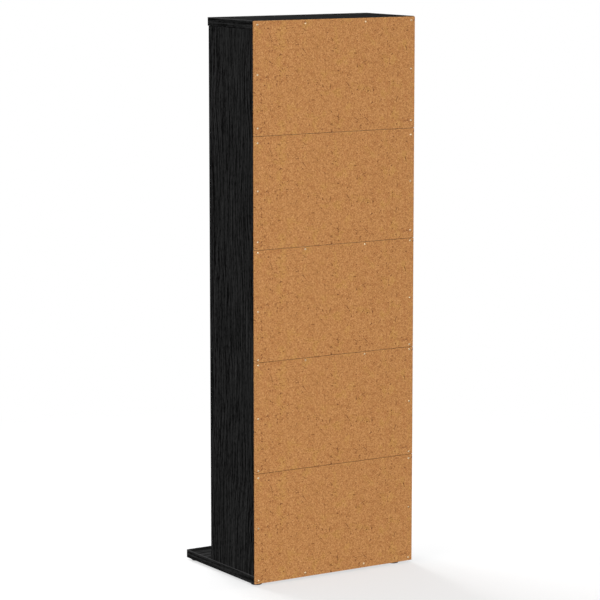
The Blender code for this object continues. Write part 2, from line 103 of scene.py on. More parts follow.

# Distances from a face between which laminate turns to core, and from an edge between which its painted rim
# highlight fades
CORE_START = (0.00062, 0.00074)
RIM_FADE = (0.0014, 0.0006)
# Heights over the inner face of the back between which its lacquer ends
LACQUER_END = (0.0003, 0.0002)
# How deep the texture of each finish goes
OAK_TEXTURE = 0.00006
HARDBOARD_TEXTURE = 0.00008
BEECH_TEXTURE = 0.00005

# Tones of the chipboard's chips and of beech, from dark to pale, and of the dust between the chips
CHIPS = ((0.25, 0.135, 0.060), (0.56, 0.38, 0.20))
BEECH = ((0.43, 0.26, 0.135), (0.66, 0.45, 0.27))
CHIP_DUST = (0.16, 0.08, 0.035)
BEECH_FIGURE = {"Streaks": 1.3, "Wander": 0.3, "Bands": 0.1, "Gloss": 0.58}

# Tones of the hardboard
FIBRE_TONES = ("Board", "Ochre", "Red", "Dark", "Light", "Bark")
# Its strands: how many to the metre, their length and width, and where their pattern starts
FIBRES = ((170.0, 0.0060, 0.0012, 0.0), (240.0, 0.0042, 0.0010, 7.0))
# The same for splinters and crumbs of bark, and the chance tone from which a strand is one
BARK = (
    (56.0, 0.0125, 0.0016, 11.0, 0.75),
    (95.0, 0.0050, 0.0022, 13.0, 0.90),
    (130.0, 0.0034, 0.0022, 17.0, 0.90),
)

# Metals and plastics: two tones, roughness, metallic, marks to the metre, and how deep their texture goes
RUBBED = {
    "zinc die casting": ((0.49, 0.49, 0.51), (0.54, 0.54, 0.56), 0.46, 1.0, 700.0, 0.000004),
    "zinc plated steel": ((0.69, 0.69, 0.70), (0.74, 0.74, 0.75), 0.32, 1.0, 900.0, 0.000001),
    "bright nail": ((0.76, 0.60, 0.38), (0.88, 0.72, 0.48), 0.45, 1.0, 700.0, 0.000004),
    "black plastic": ((0.012, 0.012, 0.0125), (0.022, 0.022, 0.023), 0.48, 0.0, 1500.0, 0.00003),
}
# The share by which their roughness goes either way, and what a scratch adds to it
SHEEN_SHARE = 0.08
SCRATCH_ROUGHNESS = 0.08

# Nails of each panel of the back, as distances below its upper edge, for they were hammered in by hand: those
# down each side, and the pairs in the middle, where a board lies behind the back
NAILS = {
    "back_panel_5": ((0.0062, 0.0926, 0.1850), (0.0063,)),
    "back_panel_4": ((0.0113, 0.0952, 0.1840), ()),
    "back_panel_3": ((0.0041, 0.1080, 0.1938), (0.0040,)),
    "back_panel_2": ((0.0040, 0.0999, 0.1933), (0.0040,)),
    "back_panel_1": ((0.0072, 0.0980, 0.1928), (0.1915,)),
}
# From the side of the cabinet to the nails down that side, and from the middle to each nail of a pair
SIDE_NAIL_INSET = 0.008
MIDDLE_NAIL_REACH = 0.063
# Outline of a nail's head, as shares of its radius and its height
NAIL_HEAD = ((0.25, 1.0), (0.55, 0.92), (0.80, 0.68), (0.95, 0.35), (1.0, 0.10), (0.97, 0.0))
# Outline of the hollow below a glide, as shares of the glide's radius and the hollow's depth
GLIDE_HOLLOW = ((0.25, 1.0), (0.50, 1.0), (0.70, 0.0))

# Edges that turn more than this stay sharp: on turned pieces, fluted dowels and edge bands
SHARP_TURNED = math.radians(35)
SHARP_FLUTED = math.radians(25)
SHARP_BAND = math.radians(50)
# Edges shorter than this are closed up after a cut
SLIVER = 0.000005
# Sides of what is turned: nails, rods such as pins and bolts, cams with their entry holes, and glides
NAIL_SIDES = 20
ROD_SIDES = 40
CAM_SIDES = 48
ENTRY_SIDES = 32
GLIDE_SIDES = 64
# Steps of a rounded edge, of one at a glide's foot, of a thread's turn and of the slot in a cam
EDGE_STEPS = 4
FOOT_STEPS = 6
THREAD_STEPS = 20
SLOT_STEPS = 16
# How far the cuts in a cam reach, as a share of its radius
CAM_CUT_SHARE = 1.3

# Lights: where each stands, the point it faces, its size, and the setting that holds its power
LIGHTS = {
    "back light": ((1.2, 5.0, 0.7), (0.0, 0.1, 0.5), 3.0, "back"),
    "right light": ((5.0, 0.9, 1.3), (0.1, 0.0, 0.5), 3.0, "right"),
    "left light": ((-4.8, 0.4, 1.6), (0.0, 0.0, 0.5), 3.0, "left"),
    "front light": ((0.1, -3.6, 3.2), (0.0, 0.0, 0.3), 2.2, "front"),
    "low light": ((-0.5, -3.4, 0.45), (0.0, 0.0, 0.5), 0.9, "low"),
    "light below": ((0.0, -0.9, -2.2), (0.0, 0.0, 0.0), 2.0, "below"),
    "top light": ((0.0, -0.9, 4.2), (0.0, 0.0, 0.0), 2.6, "top"),
}

# The floor: its size, its tones to look at, its tone to the light, and the distances between which it fades
FLOOR_SIZE = 60.0
FLOOR_TONES = ((0.86, 0.86, 0.86), (0.90, 0.90, 0.90))
FLOOR_BOUNCE = (0.16, 0.16, 0.16)
FLOOR_FADE = (0.4, 1.5)
FLOOR_WHITE = 0.62
WHITE = (1.0, 1.0, 1.0)


# Helpers for node trees


class Tree:
    """The nodes of one material or group, drawn one after the other."""

    def __init__(self, tree):
        self.tree = tree

    def add(self, kind, inputs=None, **settings):
        """Adds a node with these settings, and feeds its sockets by name or number."""
        node = self.tree.nodes.new("ShaderNode" + kind)
        for setting, value in settings.items():
            setattr(node, setting, value)
        for socket, value in (inputs or {}).items():
            self.feed(node.inputs[socket], value)
        return node

    def feed(self, socket, value):
        """Links an output to a socket, or sets the socket's own value."""
        if isinstance(value, bpy.types.NodeSocket):
            self.tree.links.new(value, socket)
        else:
            socket.default_value = value

    def group(self, name, inputs):
        """Places a node group, fed with its own values."""
        return self.add("Group", inputs, node_tree=bpy.data.node_groups[name]).outputs

    def math(self, operation, first, second=0.0):
        return self.add("Math", {0: first, 1: second}, operation=operation).outputs[0]

    def plus(self, first, second):
        return self.math("ADD", first, second)

    def minus(self, first, second):
        return self.math("SUBTRACT", first, second)

    def times(self, first, second):
        return self.math("MULTIPLY", first, second)

    def vector_math(self, operation, first, second=(0.0, 0.0, 0.0)):
        node = self.add("VectorMath", {0: first, 1: second}, operation=operation)
        return node.outputs["Value" if operation == "LENGTH" else "Vector"]

    def scaled(self, vector, amount):
        return self.add("VectorMath", {0: vector, "Scale": amount}, operation="SCALE").outputs[0]

    def joined(self, first, second):
        """A vector with these two as its X and Y."""
        return self.add("CombineXYZ", {0: first, 1: second}).outputs[0]

    def parts(self, vector):
        """The X, Y and Z of a vector."""
        return self.add("SeparateXYZ", {0: vector}).outputs

    def mapped(self, vector, scale=(1.0, 1.0, 1.0), location=(0.0, 0.0, 0.0), rotation=(0.0, 0.0, 0.0)):
        """The vector turned, stretched and moved by a Mapping node."""
        inputs = {"Vector": vector, "Location": location, "Rotation": rotation, "Scale": scale}
        return self.add("Mapping", inputs).outputs[0]

    def noise(self, vector, scale, detail=2.0, roughness=0.5, output="Fac"):
        inputs = {"Vector": vector, "Scale": scale, "Detail": detail, "Roughness": roughness}
        return self.add("TexNoise", inputs).outputs[output]

    def drift(self, vector, scale, reach):
        """A shift to either side that changes from place to place."""
        shift = self.vector_math("SUBTRACT", self.noise(vector, scale, output="Color"), (0.5, 0.5, 0.5))
        return self.vector_math("MULTIPLY", shift, (reach, reach, 0.0))

    def grained(self, vector, across, along, detail=1.0, roughness=0.5):
        """Noise drawn out along Z, with so many patches to the metre across and along the grain."""
        return self.noise(self.mapped(vector, (across, across, along)), 1.0, detail, roughness)

    def step(self, value, low, high, start=0.0, end=1.0):
        """A value eased from start to end while the given value runs from low to high."""
        inputs = {"Value": value, "From Min": low, "From Max": high, "To Min": start, "To Max": end}
        return self.add("MapRange", inputs, interpolation_type="SMOOTHSTEP").outputs[0]

    def mix(self, factor, first, second):
        """A colour between two colours."""
        return self.add("Mix", {0: factor, 6: first, 7: second}, data_type="RGBA").outputs[2]

    def arrange(self):
        """Sets the nodes out in columns, from the last node back to the first."""
        column = {}

        def place(node, depth):
            if column.get(node, -1) >= depth:
                return
            column[node] = depth
            for link in self.tree.links:
                if link.to_node == node:
                    place(link.from_node, depth + 1)

        for node in self.tree.nodes:
            if not any(output.is_linked for output in node.outputs):
                place(node, 0)
        rows = {}
        for node, depth in column.items():
            row = rows.get(depth, 0)
            node.location = (-240 * depth, -220 * row)
            rows[depth] = row + 1


def opaque(colour):
    return (*colour, 1.0)


def make_group(name, draw, vectors, colours=(), values=()):
    """Makes a shader node group, whose nodes a function draws from its inputs to its outputs."""
    group = bpy.data.node_groups.new(name, "ShaderNodeTree")
    for kind, sockets in (("Vector", vectors), ("Color", colours), ("Float", values)):
        for socket in sockets:
            group.interface.new_socket(socket, in_out="INPUT", socket_type="NodeSocket" + kind)
    tree = Tree(group)
    outputs = draw(tree, group.nodes.new("NodeGroupInput").outputs)
    for socket in outputs:
        kind = "Color" if socket == "Color" else "Float"
        group.interface.new_socket(socket, in_out="OUTPUT", socket_type="NodeSocket" + kind)
    end = group.nodes.new("NodeGroupOutput")
    for socket, value in outputs.items():
        tree.feed(end.inputs[socket], value)
    tree.arrange()


def new_material(name, roughness, metallic=0.0, specular=0.5):
    """A material with a Principled shader, as a tree, its shader and its object coordinates."""
    material = bpy.data.materials.new(name)
    material.use_nodes = True
    tree = Tree(material.node_tree)
    shader = material.node_tree.nodes["Principled BSDF"]
    shader.inputs["Roughness"].default_value = roughness
    shader.inputs["Metallic"].default_value = metallic
    shader.inputs["Specular IOR Level"].default_value = specular
    place = tree.add("TexCoord").outputs["Object"]
    return material, tree, shader, place


def finish_material(tree, shader, colour, roughness, height, depth):
    """Feeds the shader with what varies over the surface."""
    tree.feed(shader.inputs["Base Color"], colour)
    tree.feed(shader.inputs["Roughness"], roughness)
    bump = tree.add("Bump", {"Height": height, "Distance": depth, "Strength": 1.0})
    tree.feed(shader.inputs["Normal"], bump.outputs[0])
    tree.arrange()


# Node groups that several finishes share, each drawn from its inputs to its outputs


def wood_grain(tree, given):
    """Wood figure in a board whose grain runs along Z: growth rings, streaks, open pores, and the painted
    shade and highlight of embossed grooves.
    """
    # The log isn't straight, so the grain wanders across the board
    bent = given["Vector"]
    for scale, reach in (((6.0, 6.0, 3.0), 0.050), ((60.0, 60.0, 8.0), 0.0012)):
        drift = tree.drift(tree.mapped(given["Vector"], scale), 1.0, reach)
        bent = tree.vector_math("ADD", bent, tree.scaled(drift, given["Wander"]))
    # Growth rings round a heart that leans a little, which draws arches on a flat sawn face
    x, y, z = tree.parts(bent)
    out = tree.vector_math("LENGTH", tree.joined(tree.plus(x, tree.times(z, RING_LEAN)), y))
    uneven = tree.times(tree.grained(bent, 50.0, 0.8), 1.6)
    ring = tree.math("FRACT", tree.plus(tree.math("DIVIDE", out, RING_SPACING), uneven))
    late = tree.times(tree.step(ring, 0.62, 0.76), tree.step(ring, 1.0, 0.92))
    early = tree.times(tree.step(ring, 0.0, 0.07), tree.step(ring, 0.38, 0.26))
    # Some rings show more than others, and each one fades in and out along its length
    fading = tree.grained(bent, 90.0, 4.0, 2.0)
    late = tree.times(late, tree.step(fading, 0.38, 0.60))
    early = tree.times(early, tree.step(fading, 0.62, 0.42))
    # The face is flat sawn where it lies square to the heart. There the pores show as short dashes
    flat = tree.step(tree.math("DIVIDE", tree.math("ABSOLUTE", y), out), 0.80, 0.30)
    dashes = tree.grained(bent, 300.0, 42.0, 2.0, 0.6)
    share = tree.step(flat, 0.0, 1.0, 0.30, 1.0)
    pale = tree.times(tree.step(dashes, 0.52, 0.62), share)
    gap = tree.times(tree.step(dashes, 0.46, 0.38), share)
    streak = tree.step(tree.grained(bent, 300.0, 4.0, 2.0, 0.6), 0.54, 0.64)
    pore = tree.step(tree.grained(bent, 1500.0, 60.0), 0.58, 0.72)
    fine = tree.step(tree.grained(bent, 420.0, 120.0, 1.0, 0.6), 0.50, 0.40)
    # Embossed grooves, drawn as painted shade and painted highlight: a pattern less the same pattern to one
    # side, so each has a painted dark side and a painted pale one
    beside = tree.vector_math("ADD", bent, (0.0, GROOVE_SHADE_OFFSET, 0.0))
    groove_shading = tree.minus(tree.grained(beside, 340.0, 8.0), tree.grained(bent, 340.0, 8.0))
    groove_shading = tree.step(groove_shading, -0.15, 0.15, -1.0, 1.0)
    bands = tree.step(tree.grained(bent, 75.0, 2.5), 0.36, 0.64, -1.0, 1.0)
    bands = tree.times(bands, given["Bands"])
    shade = tree.minus(tree.times(late, 0.25), tree.times(early, 0.45))
    shade = tree.plus(tree.times(shade, tree.step(flat, 0.0, 1.0, 1.0, 0.6)), 0.08)
    amounts = ((streak, 0.25), (fine, -0.50), (bands, 1.0), (pale, 0.28), (gap, -0.10), (groove_shading, 0.40))
    for part, amount in amounts:
        shade = tree.plus(shade, tree.times(part, amount))
    shade = tree.minus(tree.times(shade, given["Streaks"]), tree.times(pore, 0.25))
    rough = tree.plus(given["Gloss"], tree.times(pore, 0.16))
    return {
        "Color": tree.mix(tree.step(shade, -1.0, 1.3), given["Dark"], given["Light"]),
        "Roughness": tree.minus(rough, tree.times(streak, 0.05)),
        "Height": tree.minus(tree.times(streak, 0.5), pore),
    }


def depth_in_board(tree, given):
    """Where a point lies in a board: deep in its core, or along its rims."""
    away = tree.vector_math("ABSOLUTE", tree.vector_math("SUBTRACT", given["Vector"], given["Middle"]))
    x, y, z = tree.parts(tree.vector_math("SUBTRACT", given["Reach"], away))
    least = tree.math("MINIMUM", x, y)
    greatest = tree.math("MAXIMUM", x, y)
    second = tree.math("MAXIMUM", least, tree.math("MINIMUM", greatest, z))
    return {
        "Core": tree.step(tree.math("MINIMUM", least, z), *CORE_START),
        "Rim": tree.step(second, *RIM_FADE),
    }


def chipboard(tree, given):
    """Sawn or drilled chipboard: pale chips in darker dust."""
    place = given["Vector"]
    shift = tree.vector_math("MULTIPLY", tree.noise(place, 300.0, output="Color"), (0.002, 0.002, 0.002))
    bent = tree.mapped(tree.vector_math("ADD", place, shift), (260.0, 260.0, 520.0))
    chips = tree.add("TexVoronoi", {"Vector": bent, "Scale": 1.0}).outputs["Color"]
    shade = tree.add("SeparateColor", {0: chips}).outputs[0]
    dust = tree.noise(place, 1400.0, 3.0, 0.7)
    colour = tree.mix(tree.step(shade, 0.1, 0.9), *map(opaque, CHIPS))
    return {
        "Color": tree.mix(tree.step(dust, 0.50, 0.75), colour, opaque(CHIP_DUST)),
        "Height": tree.plus(shade, dust),
    }


def strewn_strands(tree, given):
    """Single strands, strewn over the XZ plane and turned every way, each with a chance tone of its own."""
    x, _, z = tree.parts(given["Vector"])
    flat = tree.vector_math("ADD", tree.joined(x, z), tree.drift(given["Vector"], 260.0, 0.004))
    cell = tree.add("TexVoronoi", {"Vector": flat, "Scale": given["Scale"]}, voronoi_dimensions="2D").outputs
    tone, turn, size = tree.add("SeparateColor", {0: cell["Color"]}).outputs
    near = tree.vector_math("SUBTRACT", flat, cell["Position"])
    angle = tree.times(turn, math.tau)
    lying = tree.add("VectorRotate", {"Vector": near, "Angle": angle}, rotation_type="Z_AXIS").outputs[0]
    along, beside, _ = tree.parts(lying)
    along = tree.math("DIVIDE", along, tree.times(given["Length"], tree.step(size, 0.0, 1.0, 0.5, 1.2)))
    beside = tree.math("DIVIDE", beside, given["Width"])
    out = tree.vector_math("LENGTH", tree.joined(along, beside))
    return {"Mask": tree.step(out, 0.50, 0.28), "Tone": tone}


def pressed_fibre(tree, given):
    """Hardboard: pressed wood fibres with speckles, a clouded tone and dark splinters of bark."""
    place = given["Vector"]

    def strands(scale, length, width, start):
        moved = tree.vector_math("ADD", place, (start, 0.0, start))
        values = {"Vector": moved, "Scale": scale, "Length": length, "Width": width}
        return tree.group("strewn strands", values)

    cloud = tree.noise(place, 42.0, 2.0, 0.6)
    colour = tree.mix(tree.step(cloud, 0.52, 0.66), given["Board"], given["Ochre"])
    blush = tree.noise(tree.vector_math("ADD", place, (3.1, 1.7, 4.3)), 90.0, 2.0, 0.6)
    colour = tree.mix(tree.step(blush, 0.45, 0.72), colour, given["Red"])
    speckle = tree.noise(place, 480.0, 3.0, 0.8)
    colour = tree.mix(tree.step(speckle, 0.48, 0.36, 0.0, 0.80), colour, given["Dark"])
    colour = tree.mix(tree.step(speckle, 0.53, 0.65, 0.0, 0.80), colour, given["Light"])
    # Short strands, some paler and some darker than the board
    for size in FIBRES:
        strand = strands(*size)
        dark = tree.times(strand["Mask"], tree.step(strand["Tone"], 0.36, 0.10, 0.0, 0.75))
        light = tree.times(strand["Mask"], tree.step(strand["Tone"], 0.62, 0.95, 0.0, 0.65))
        colour = tree.mix(light, tree.mix(dark, colour, given["Dark"]), given["Light"])
    # Splinters and crumbs of bark, in some places more than in others
    crowd = tree.noise(tree.vector_math("ADD", place, (5.0, 0.0, 2.0)), 26.0, 1.0)
    crowd = tree.step(crowd, 0.40, 0.62, -0.10, 0.16)
    for *size, least in BARK:
        strand = strands(*size)
        chosen = tree.step(tree.plus(strand["Tone"], crowd), least, least + 0.06)
        colour = tree.mix(tree.times(strand["Mask"], chosen), colour, given["Bark"])
    return {"Color": colour, "Height": speckle}


def rub_marks(tree, given):
    """Handling marks on metal and plastic: a clouded sheen and fine scratches."""
    place = tree.scaled(given["Vector"], given["Size"])
    cloud = tree.noise(place, 1.0, 3.0, 0.6)
    lines = tree.noise(tree.mapped(place, (1.2, 9.0, 2.0), rotation=(0.4, 0.7, 0.3)), 1.0, 2.0, 0.7)
    return {
        "Cloud": tree.step(cloud, 0.35, 0.65),
        "Scratch": tree.step(lines, 0.60, 0.72),
        "Height": tree.plus(tree.noise(place, 6.0, 2.0, 0.6), cloud),
    }


def make_groups():
    """Makes every group that the finishes share."""
    vector = ("Vector",)
    make_group("wood grain", wood_grain, vector, ("Dark", "Light"), ("Streaks", "Wander", "Bands", "Gloss"))
    make_group("depth in board", depth_in_board, ("Vector", "Middle", "Reach"))
    make_group("chipboard", chipboard, vector)
    make_group("strewn strands", strewn_strands, vector, values=("Scale", "Length", "Width"))
    make_group("pressed fibre", pressed_fibre, vector, FIBRE_TONES)
    make_group("rubbed", rub_marks, vector, values=("Size",))


# Finishes


def oak_material(name, oak, board, turn, cut, wander, bands, core=None):
    """Black oak laminate with a painted highlight along the board's upper rims. A core box shows chipboard
    where it is cut.
    """
    material, tree, shader, place = new_material(name, oak.roughness, specular=oak.specular)
    figure = tree.group(
        "wood grain",
        {
            "Vector": tree.mapped(place, location=cut, rotation=turn),
            "Dark": opaque(oak.dark),
            "Light": opaque(oak.light),
            "Streaks": oak.streaks,
            "Wander": wander,
            "Bands": bands,
            "Gloss": oak.roughness,
        },
    )
    colour, height = figure["Color"], figure["Height"]
    if board not in UPRIGHT_BOARDS:
        # Painted highlight: the upper rims are paled towards a lighter tone, standing in for light caught by
        # their rounded edges
        rims = depth_in_box(tree, place, *upper_rim(board))["Rim"]
        colour = tree.mix(tree.times(rims, oak.rims), colour, opaque(oak.rim_highlight))
    if core:
        deep = depth_in_box(tree, place, *core)["Core"]
        chips = tree.group("chipboard", {"Vector": place})
        colour = tree.mix(deep, colour, chips["Color"])
        height = tree.plus(height, tree.times(deep, chips["Height"]))
    finish_material(tree, shader, colour, figure["Roughness"], height, OAK_TEXTURE)
    return material


def depth_in_box(tree, place, low, high):
    """The group on depth, placed for the box between two corners."""
    box = {"Middle": (low + high) / 2, "Reach": (high - low) / 2}
    return tree.group("depth in board", {"Vector": place, **box})


def upper_rim(board):
    """The box for the painted highlight on the rims at the ends of a board that lies level.

    It reaches far down and far out to the front and the rear, so that only the upper rims of the ends count.
    """
    low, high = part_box(board)
    return Vector((low.x, -1.0, -high.z)), Vector((high.x, 1.0, high.z))


def hardboard_material(name, board, low):
    """Raw hardboard outside, with the inner face lacquered black."""
    material, tree, shader, place = new_material(name, board.roughness, specular=board.specular)
    tones = {tone: opaque(getattr(board, tone.lower())) for tone in FIBRE_TONES}
    moved = tree.mapped(place, location=Vector(BACK_CUT) - low)
    figure = tree.group("pressed fibre", {"Vector": moved, **tones})
    depth = tree.parts(place)["Y"]
    inner = tree.step(depth, *(low.y + height for height in LACQUER_END))
    lacquer = tree.mix(tree.noise(place, 260.0, 3.0), opaque(board.lacquer_dark), opaque(board.lacquer_light))
    colour = tree.mix(inner, figure["Color"], lacquer)
    rough = tree.step(inner, 0.0, 1.0, board.roughness, board.lacquer_roughness)
    finish_material(tree, shader, colour, rough, figure["Height"], HARDBOARD_TEXTURE)
    return material


def rubbed_material(name):
    """Metal or moulded plastic with a clouded tone and faint scratches, made when it is first asked for."""
    if name in bpy.data.materials:
        return bpy.data.materials[name]
    first, second, roughness, metallic, size, depth = RUBBED[name]
    material, tree, shader, place = new_material(name, roughness, metallic)
    marks = tree.group("rubbed", {"Vector": place, "Size": size})
    colour = tree.mix(marks["Cloud"], opaque(first), opaque(second))
    spread = roughness * SHEEN_SHARE
    rough = tree.step(marks["Cloud"], 0.0, 1.0, roughness - spread, roughness + spread)
    rough = tree.plus(rough, tree.times(marks["Scratch"], SCRATCH_ROUGHNESS))
    finish_material(tree, shader, colour, rough, marks["Height"], depth)
    return material


def beech_material():
    """Turned beech with its short flecks."""
    material, tree, shader, place = new_material("beech", 0.6, specular=0.3)
    dark, light = map(opaque, BEECH)
    figure = tree.group("wood grain", {"Vector": place, "Dark": dark, "Light": light, **BEECH_FIGURE})
    finish_material(tree, shader, figure["Color"], figure["Roughness"], figure["Height"], BEECH_TEXTURE)
    return material


def coat(piece, material):
    """Gives a piece one material in place of those it has."""
    piece.data.materials.clear()
    piece.data.materials.append(material)


# Helpers for modelling


def deselect_all():
    """Leaves edit mode and selects nothing."""
    if bpy.context.object and bpy.context.object.mode != "OBJECT":
        bpy.ops.object.mode_set(mode="OBJECT")
    bpy.ops.object.select_all(action="DESELECT")


def apply_place():
    """Moves the selected piece's place, turn and scale into its mesh."""
    bpy.ops.object.transform_apply(location=True, rotation=True, scale=True)


def select_only(piece, kind, wanted):
    """In edit mode, selects the corners or edges for which wanted(number, one) is true, and nothing else."""
    bpy.ops.mesh.select_mode(type=kind)
    bpy.ops.mesh.select_all(action="DESELECT")
    shape = bmesh.from_edit_mesh(piece.data)
    for number, one in enumerate(shape.verts if kind == "VERT" else shape.edges):
        one.select_set(wanted(number, one))
    bmesh.update_edit_mesh(piece.data)


def end_edit():
    """Ends edit mode, with every normal of the mesh outward."""
    bpy.ops.mesh.select_all(action="SELECT")
    bpy.ops.mesh.normals_make_consistent(inside=False)
    bpy.ops.object.mode_set(mode="OBJECT")


def close_piece(piece, name, sharp=SHARP_TURNED):
    """Ends edit mode, and sets the piece at the origin, unturned and unscaled."""
    end_edit()
    apply_place()
    bpy.ops.object.shade_smooth_by_angle(angle=sharp)
    piece.name = piece.data.name = name
    return piece


def turn_piece(name, profile, sides, sharp=SHARP_TURNED, flute=1.0):
    """A piece turned about Z: a disc whose face is pulled out and scaled from ring to ring of the profile.

    Where a flute's share of the radius is given, every second corner of the rings lies that far out.
    """
    deselect_all()
    (radius, height), *rings = profile
    place = (0, 0, height)
    bpy.ops.mesh.primitive_circle_add(vertices=sides, radius=radius, fill_type="NGON", location=place)
    piece = bpy.context.object
    bpy.ops.object.mode_set(mode="EDIT")
    if flute < 1.0:
        select_only(piece, "VERT", lambda number, _: number % 2 == 0)
        bpy.ops.transform.resize(value=(flute, flute, 1), center_override=place)
        bpy.ops.mesh.select_mode(type="FACE")
    bpy.ops.mesh.select_all(action="SELECT")
    for next_radius, next_height in rings:
        bpy.ops.mesh.extrude_region_move(TRANSFORM_OT_translate={"value": (0, 0, next_height - height)})
        share = next_radius / radius
        bpy.ops.transform.resize(value=(share, share, 1), center_override=(0, 0, next_height))
        radius, height = next_radius, next_height
    return close_piece(piece, name, sharp)


def eased_edge(radius, height, easing, way, steps=EDGE_STEPS):
    """Rings of a rounded edge. Way is 1 where a rod or a collar ends, and -1 where it starts."""
    rings = []
    for step in range(steps + 1):
        angle = QUARTER * step / steps
        inset = easing * (1 - math.cos(angle))
        rings.append((radius - inset, height - way * easing * (1 - math.sin(angle))))
    return rings[::way]


def eased_drum(radius, start, end, easing):
    """Rings of a rod or a collar with both its edges rounded."""
    return eased_edge(radius, start, easing, -1) + eased_edge(radius, end, easing, 1)


def wind_thread(piece, core, crest, low, high, pitch):
    """Winds the rib of a thread round a turned piece, from low to high, and joins it to the piece."""
    deselect_all()
    # The rib is a triangle, one and a half times its radius high, with a sixth of its crest sunk in the core
    sunk = (crest - core) / 6
    reach = (crest - core + sunk) / 1.5
    place, upright = (crest - reach, 0, low), (QUARTER, QUARTER, 0)
    bpy.ops.mesh.primitive_circle_add(vertices=3, radius=reach, location=place, rotation=upright)
    rib = bpy.context.object
    apply_place()
    screw = rib.modifiers.new("thread", "SCREW")
    screw.screw_offset = pitch
    screw.iterations = max(1, int((high - low) / pitch))
    screw.steps = screw.render_steps = THREAD_STEPS
    bpy.ops.object.modifier_apply(modifier=screw.name)
    bpy.ops.object.mode_set(mode="EDIT")
    bpy.ops.mesh.select_mode(type="EDGE")
    bpy.ops.mesh.select_all(action="DESELECT")
    bpy.ops.mesh.select_non_manifold()
    bpy.ops.mesh.fill_holes(sides=3)
    end_edit()
    piece.select_set(True)
    bpy.context.view_layer.objects.active = piece
    bpy.ops.object.join()
    bpy.ops.object.shade_smooth_by_angle(angle=SHARP_TURNED)


def cut_away(piece, cutter):
    """Takes the cutter's solid out of a piece, and removes the cutter."""
    deselect_all()
    piece.select_set(True)
    bpy.context.view_layer.objects.active = piece
    cut = piece.modifiers.new("cut", "BOOLEAN")
    cut.operation = "DIFFERENCE"
    cut.object = cutter
    bpy.ops.object.modifier_apply(modifier=cut.name)
    bpy.data.objects.remove(cutter, do_unlink=True)
    bpy.ops.object.mode_set(mode="EDIT")
    bpy.ops.mesh.select_all(action="SELECT")
    bpy.ops.mesh.remove_doubles(threshold=SLIVER)
    bpy.ops.mesh.dissolve_degenerate(threshold=SLIVER)
    bpy.ops.object.mode_set(mode="OBJECT")
    bpy.ops.object.shade_smooth_by_angle(angle=SHARP_TURNED)


def cut_box(piece, place, size):
    """Takes a box out of a piece."""
    deselect_all()
    bpy.ops.mesh.primitive_cube_add(size=1.0, location=place, scale=size)
    cut_away(piece, bpy.context.object)


def cut_rod(piece, sides, radius, depth, place=(0, 0, 0), turn=(0, 0, 0)):
    """Takes a rod out of a piece."""
    deselect_all()
    bpy.ops.mesh.primitive_cylinder_add(
        vertices=sides, radius=radius, depth=depth, location=place, rotation=turn
    )
    cut_away(piece, bpy.context.object)


def copies_of(pattern, placed):
    """Copies of a pattern, each with its own mesh moved to its place. The pattern is removed."""
    made = []
    for name, matrix in placed:
        mesh = pattern.data.copy()
        mesh.transform(matrix)
        mesh.name = name
        piece = bpy.data.objects.new(name, mesh)
        bpy.context.scene.collection.objects.link(piece)
        made.append(piece)
    bpy.data.objects.remove(pattern, do_unlink=True)
    return made


def nodes_named(start):
    """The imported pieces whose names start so."""
    return [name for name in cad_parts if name.startswith(start)]


def put_in_place(pattern, start, made_as, placing):
    """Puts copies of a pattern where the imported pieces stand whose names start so, and leaves those out."""
    nodes = nodes_named(start)
    for node, piece in zip(nodes, copies_of(pattern, [(made_as + node, placing(node)) for node in nodes])):
        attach(piece, CARCASS)
        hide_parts(node)


def extent(node):
    """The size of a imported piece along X, Y and Z."""
    low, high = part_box(node)
    return high - low


def middle(node):
    """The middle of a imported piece."""
    low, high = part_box(node)
    return (low + high) / 2


def inward(node):
    """The way a fastener points, away from the board that its deep end sits in."""
    size = extent(node)
    if size.x > max(size.y, size.z):
        return Vector((-1, 0, 0)) if middle(node).x > 0 else Vector((1, 0, 0))
    return Vector((0, 0, -1)) if "_top_" in node else Vector((0, 0, 1))


def fastener_place(node):
    """Where a fastener stands: its origin at its deep end and its +Z along its length."""
    way = inward(node)
    seat = Vector((0, 0, 1)) if way.x else Vector((0, -1, 0))
    turn = Matrix((seat, way.cross(seat), way)).transposed().to_4x4()
    deep_end = middle(node) - way * abs(extent(node).dot(way)) / 2
    return Matrix.Translation(deep_end) @ turn


def cam_place(node):
    """Where a cam lock stands: +X faces its bolt, +Z its driver, and its origin is on the bolt's axis."""
    bolt = node.replace("lock", "bolt")
    way = inward(bolt)
    apart = middle(node) - middle(bolt)
    along = way * apart.dot(way)
    opening = (apart - along).normalized()
    turn = Matrix((-way, opening.cross(-way), opening)).transposed().to_4x4()
    return Matrix.Translation(middle(bolt) + along) @ turn


def glide_place(node):
    """Where a glide stands: its origin at the middle of its foot."""
    low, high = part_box(node)
    return Matrix.Translation(((low.x + high.x) / 2, (low.y + high.y) / 2, low.z))


def add_band(name, low, high, outward, rounding):
    """An edge band between two corners, with the edges of its outer face eased."""
    deselect_all()
    low, high, outward = Vector(low), Vector(high), Vector(outward)
    place = (low + high) / 2
    bpy.ops.mesh.primitive_cube_add(size=1.0, location=place, scale=high - low)
    piece = bpy.context.object
    apply_place()
    bpy.ops.object.mode_set(mode="EDIT")
    # The edges round the outer face are those with both ends beyond the middle
    select_only(piece, "EDGE", lambda _, edge: all((end.co - place).dot(outward) > 0 for end in edge.verts))
    bpy.ops.mesh.bevel(offset=rounding, segments=3, affect="EDGES")
    return close_piece(piece, name, SHARP_BAND)


# Sizes and colours that a user would change. Their kinds come first, named as bpy.props names its own


def Length(name, description, default, least=0.0):
    """A length in metres."""
    return FloatProperty(name=name, description=description, default=default, min=least, unit="LENGTH")


def Angle(name, description, degrees):
    """An angle, given in degrees."""
    return FloatProperty(name=name, description=description, default=math.radians(degrees), subtype="ANGLE")


def Share(name, description, default, most=1.0):
    """A share of the whole."""
    return FloatProperty(name=name, description=description, default=default, min=0, max=most)


def Colour(name, description, *default):
    """A colour as red, green and blue."""
    return FloatVectorProperty(
        name=name, description=description, default=default, min=0, max=1, subtype="COLOR"
    )


